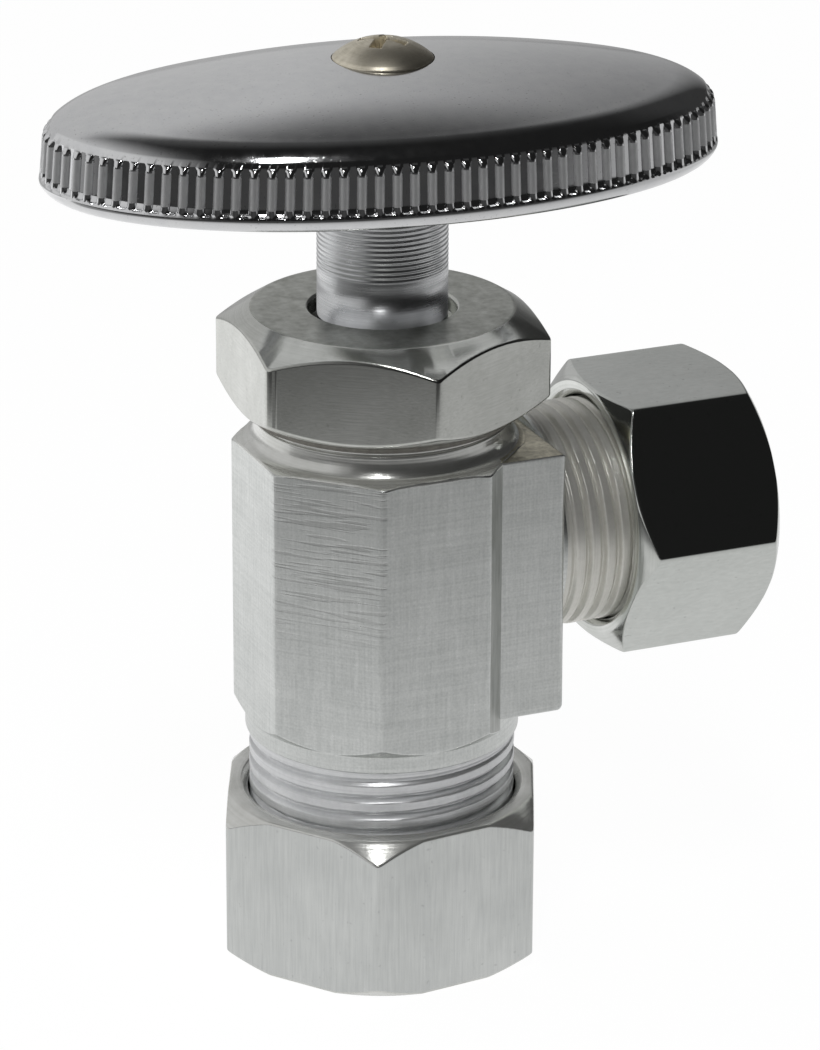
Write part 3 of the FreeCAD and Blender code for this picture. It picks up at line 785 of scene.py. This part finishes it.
def rib_finish(centres, normals):
    """The ribs' faces are duller than the gaps between them."""
    turn = math.radians(HANDLE_ANGLE)
    x, y, z = centres.T
    own = np.column_stack([
        x * math.cos(turn) + y * math.sin(turn), y * math.cos(turn) - x * math.sin(turn),
    ])
    angle = np.arctan2(own[:, 1] / HANDLE_B, own[:, 0] / HANDLE_A)
    surface = flare(z)[:, None] * oval_point(angle)
    inset = np.sum((surface - own) * oval_outward(angle), axis=1)
    return [(MATERIALS["rib_chrome"], (z > 64.4) & (z < 66.8) & (inset > -0.1) & (inset < 0.26))]


def handle_piece():
    """Oval die-cast handle: soft lip, ribbed skirt, tight shoulder, low dome, hollow underside and boss."""
    rows = handle_rows()
    turn = math.radians(HANDLE_ANGLE)
    x, y = rows[..., 0].copy(), rows[..., 1].copy()
    rows[..., 0] = x * math.cos(turn) - y * math.sin(turn)
    rows[..., 1] = x * math.sin(turn) + y * math.cos(turn)
    piece = finish_piece(
        grid("handle_look", rows), "spindle", ["handle"], MATERIALS["mirror_chrome"],
        sharp=50,
    )
    paint(piece, rib_finish)


def screw_piece():
    """Domed screw with a cross recess whose arms narrow towards the bottom."""
    theta = np.linspace(0, 2 * np.pi, 240, endpoint=False)
    rim_z, seat_z, tip_z = 71.36, 71.06, 59.8
    arm_half, arm_end, recess = 0.47, 1.9, 1.25
    rise = SCREW_TOP - rim_z
    ball = (SCREW_R ** 2 + rise ** 2) / (2 * rise)
    turn = math.radians(HANDLE_ANGLE + 55)
    rows = []
    for r in np.r_[np.linspace(0.04, 2.3, 58), np.linspace(2.35, SCREW_R - 0.12, 10)]:
        x, y = np.abs(r * np.cos(theta - turn)), np.abs(r * np.sin(theta - turn))
        along, across = np.maximum(x, y), np.minimum(x, y)
        arm = np.minimum((arm_half - across) / 0.16, (arm_end - along) / 0.5)
        z = SCREW_TOP - (ball - np.sqrt(ball ** 2 - r ** 2)) - recess * smooth(arm)
        rows.append((np.full_like(theta, r), z))
    rows += softened([
        (SCREW_R - 0.1, rim_z + 0.06, 0), (SCREW_R, rim_z - 0.02, 0.08), (SCREW_R, seat_z, 0.08),
        (SCREW_SHANK_R, seat_z, 0.05), (SCREW_SHANK_R, tip_z + 0.5, 0.1), (SCREW_SHANK_R - 0.5, tip_z, 0.1),
        (0.4, tip_z, 0),
    ])
    finish_piece(
        grid("handle_screw_look", lathe_rows(rows, theta), cap_start=True, cap_end=True), "spindle",
        ["handle_screw"], MATERIALS["antique_brass"],
    )


def same(rows):
    return rows


body_piece()
bonnet_piece()
stem_piece()
handle_piece()
screw_piece()
nut("inlet_nut", INLET, same, "inlet_nut", MATERIALS["nut_chrome"], MATERIALS["turned_chrome"], 2)
nut("outlet_nut", OUTLET, to_outlet, "outlet_nut", MATERIALS["outlet_chrome"], MATERIALS["outlet_turned"], 0)
# inner pieces keep their own mesh and only get a material
for node, slot in (
    ("bonnet_gasket", "gasket_fibre"), ("backseat_ring", "ptfe"), ("disc_holder", "bare_brass"),
    ("seat_washer", "black_rubber"), ("disc_screw", "bare_brass"), ("inlet_sleeve", "bare_brass"),
    ("outlet_sleeve", "bare_brass"), ("stem_o_ring_lower", "black_rubber"),
    ("stem_o_ring_upper", "black_rubber"),
):
    kept = bpy.data.objects[node]
    kept.data.materials.clear()
    kept.data.materials.append(MATERIALS[slot])


# --- camera

CAMERA_AT = Vector((-0.13765, -0.32643, 0.17138))
HEADING = Vector((0.39413, 0.91905, 0.0))  # the way the camera faces, on the floor
RIGHT = (HEADING.y, -HEADING.x, 0.0)
LENS = 169.80
PITCH_DOWN = math.radians(21.168)
ROLL = math.radians(0.2315)


def add_camera():
    """Camera placed so that the model's edges fall where the photo shows them."""
    forward = HEADING * math.cos(PITCH_DOWN) - Vector((0, 0, math.sin(PITCH_DOWN)))
    right = forward.cross(Vector((0, 0, 1))).normalized()
    up = right.cross(forward)
    right, up = right * math.cos(ROLL) + up * math.sin(ROLL), up * math.cos(ROLL) - right * math.sin(ROLL)
    data = bpy.data.cameras.new("camera")
    data.sensor_fit = "VERTICAL"
    data.sensor_height = 36.0
    data.lens = LENS
    camera = bpy.data.objects.new("camera", data)
    camera.matrix_world = Matrix(((*right, 0), (*up, 0), (*-forward, 0), (0, 0, 0, 1))).transposed()
    camera.location = CAMERA_AT
    bpy.context.scene.collection.objects.link(camera)
    bpy.context.scene.camera = camera


# --- studio: pale floor, grey surround, a soft key light and a low one for the stem's foot

FLOOR_TONE = 0.965

def direction_value(tree, coords, axis):
    dot = tree.nodes.new("ShaderNodeVectorMath")
    dot.operation = "DOT_PRODUCT"
    tree.links.new(coords, dot.inputs[0])
    dot.inputs[1].default_value = axis
    return dot.outputs["Value"]


def ranged(tree, value, start, end, low, high, smooth_step=True):
    node = tree.nodes.new("ShaderNodeMapRange")
    node.interpolation_type = "SMOOTHSTEP" if smooth_step else "LINEAR"
    tree.links.new(value, node.inputs["Value"])
    for key, number in (("From Min", start), ("From Max", end), ("To Min", low), ("To Max", high)):
        node.inputs[key].default_value = number
    return node.outputs[0]


def combine(tree, operation, a, b):
    node = tree.nodes.new("ShaderNodeMath")
    node.operation = operation
    for i, value in enumerate((a, b)):
        if isinstance(value, bpy.types.NodeSocket):
            tree.links.new(value, node.inputs[i])
        else:
            node.inputs[i].default_value = value
    return node.outputs[0]


def product(tree, a, b):
    return combine(tree, "MULTIPLY", a, b)


def floor_in_metal(tree):
    """Brightness of the floor as the metal sees it, by distance from the middle (metres)."""
    coords = tree.nodes.new("ShaderNodeTexCoord").outputs["Object"]
    away = direction_value(tree, coords, tuple(HEADING))
    aside = direction_value(tree, coords, RIGHT)
    near = ranged(tree, away, -0.18, -0.065, 0.02, 0.60, smooth_step=False)
    beyond = ranged(tree, away, -0.065, 0.12, 0.0, 0.34, smooth_step=False)
    far_side = ranged(tree, aside, -0.01, 0.13, 1.0, 0.62, smooth_step=False)
    horizon = ranged(tree, away, 0.14, 0.21, 1.0, 0.42, smooth_step=False)
    level = product(tree, combine(tree, "ADD", near, beyond), product(tree, far_side, horizon))
    reach = tree.nodes.new("ShaderNodeVectorMath")
    reach.operation = "LENGTH"
    tree.links.new(coords, reach.inputs[0])
    outside = ranged(tree, reach.outputs["Value"], 0.09, 0.125, 0.0, 0.62)
    to_left = ranged(tree, aside, -0.08, -0.03, 1.0, 0.0)
    in_front = ranged(tree, away, -0.02, 0.0, 1.0, 0.0)
    shade = product(tree, outside, product(tree, to_left, in_front))
    return product(tree, level, combine(tree, "SUBTRACT", 1.0, shade))


def add_floor():
    """Even pale floor to the camera; reflections see it shaded."""
    mesh = bpy.data.meshes.new("floor")
    size = 2.5
    corners = [(-size, -size, 0), (size, -size, 0), (size, size, 0), (-size, size, 0)]
    mesh.from_pydata(corners, [], [(0, 1, 2, 3)])
    floor = bpy.data.objects.new("floor", mesh)
    floor.location.z = -0.00005
    bpy.context.scene.collection.objects.link(floor)
    material = bpy.data.materials.new("floor")
    material.use_nodes = True
    tree = material.node_tree
    tree.nodes.clear()
    to_camera = tree.nodes.new("ShaderNodeLightPath").outputs["Is Camera Ray"]
    direct = product(tree, to_camera, FLOOR_TONE)
    other = product(tree, combine(tree, "SUBTRACT", 1.0, to_camera), floor_in_metal(tree))
    emission = tree.nodes.new("ShaderNodeEmission")
    emission.inputs["Color"].default_value = (1, 1, 1, 1)
    tree.links.new(combine(tree, "ADD", direct, other), emission.inputs["Strength"])
    diffuse = tree.nodes.new("ShaderNodeBsdfDiffuse")
    diffuse.inputs["Color"].default_value = (0.09, 0.09, 0.09, 1)
    both = tree.nodes.new("ShaderNodeAddShader")
    tree.links.new(emission.outputs[0], both.inputs[0])
    tree.links.new(diffuse.outputs[0], both.inputs[1])
    output = tree.nodes.new("ShaderNodeOutputMaterial")
    tree.links.new(both.outputs[0], output.inputs["Surface"])
    mesh.materials.append(material)


def add_surround():
    """Grey behind the object, fading to the right and overhead, light far left and dark elsewhere."""
    world = bpy.data.worlds.new("surround")
    bpy.context.scene.world = world
    world.use_nodes = True
    tree = world.node_tree
    coords = tree.nodes.new("ShaderNodeTexCoord").outputs["Generated"]
    away = direction_value(tree, coords, tuple(HEADING))
    aside = direction_value(tree, coords, RIGHT)
    height = direction_value(tree, coords, (0.0, 0.0, 1.0))
    behind = ranged(tree, away, 0.09, 0.60, 0.0, 0.50)
    below_top = ranged(tree, height, 0.62, 0.85, 1.0, 0.12)
    to_right = ranged(tree, aside, -0.06, 0.40, 1.0, 0.05, smooth_step=False)
    back = product(tree, product(tree, behind, below_top), to_right)
    left = ranged(tree, aside, -0.75, -0.25, 0.62, 0.0)
    level = combine(tree, "ADD", combine(tree, "MAXIMUM", back, left), 0.012)
    background = tree.nodes["Background"]
    background.inputs["Color"].default_value = (1.0, 1.0, 1.0, 1)
    tree.links.new(level, background.inputs["Strength"])


def add_light(name, heading, elevation, distance, width, height, radiance, target=(0, 0, 0.045)):
    """Area light facing the target from a heading (degrees clockwise from the camera's) and elevation."""
    h, e = math.radians(heading), math.radians(elevation)
    flat = HEADING * math.cos(h) + Vector(RIGHT) * math.sin(h)
    toward = flat * math.cos(e) + Vector((0, 0, math.sin(e)))
    data = bpy.data.lights.new(name, "AREA")
    data.shape = "RECTANGLE"
    data.size = width
    data.size_y = height
    data.energy = radiance * math.pi * width * height
    light = bpy.data.objects.new(name, data)
    light.location = Vector(target) + toward * distance
    light.rotation_euler = toward.to_track_quat("Z", "Y").to_euler()
    bpy.context.scene.collection.objects.link(light)


add_camera()
add_floor()
add_surround()
add_light("key", 183, 61, 0.8, 0.085, 0.27, 16.0)
add_light("low", 184, 38, 0.8, 0.05, 0.06, 26.0)
bpy.context.scene.view_settings.view_transform = "Standard"
